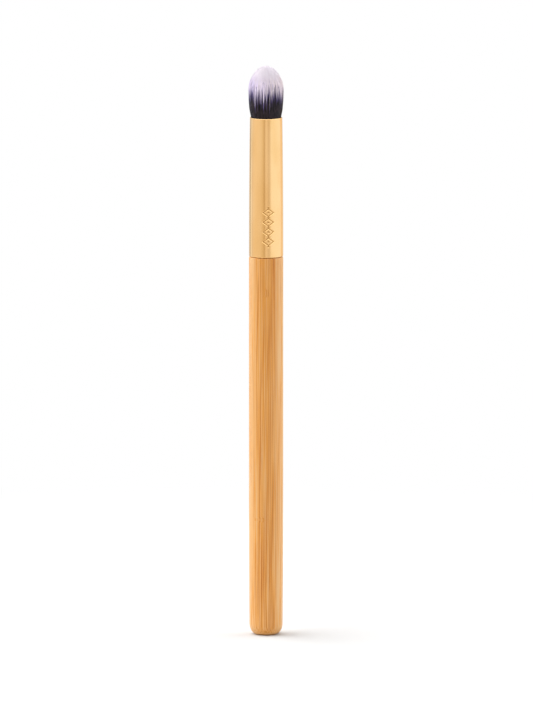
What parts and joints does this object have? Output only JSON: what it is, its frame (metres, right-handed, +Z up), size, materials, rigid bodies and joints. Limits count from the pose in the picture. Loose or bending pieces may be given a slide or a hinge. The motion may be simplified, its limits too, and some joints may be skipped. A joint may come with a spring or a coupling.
{
  "type": "concealer brush",
  "caption": "Small round make-up brush: bamboo handle with a rounded foot, gold-coloured tubular ferrule and a domed tuft of dark filament with pale tips.",
  "frame": {"origin": "centre of the flat that the handle's rounded foot ends in, which the brush stands on", "axes": "+Z runs up the brush's axis from the foot to the tips of the tuft; the brush is round, so X and Y are free"},
  "size_m": [0.0102, 0.0103, 0.1705],
  "materials": {
    "bamboo": "clear lacquered bamboo, satin",
    "gold_aluminium": "gold anodised, bright drawn",
    "filament": "fine synthetic filament, near black with pale lilac tips",
    "cotton_thread": "undyed twisted cotton",
    "resin": "cured amber resin",
    "wood_glue": "cured cream glue"
  },
  "bodies": {
    "root": {"handle": "bamboo", "ferrule": "gold_aluminium", "bristle_tuft": "filament", "binding_thread": "cotton_thread", "root_plug": "resin", "glue_ring": "wood_glue"}
  },
  "joints": []
}
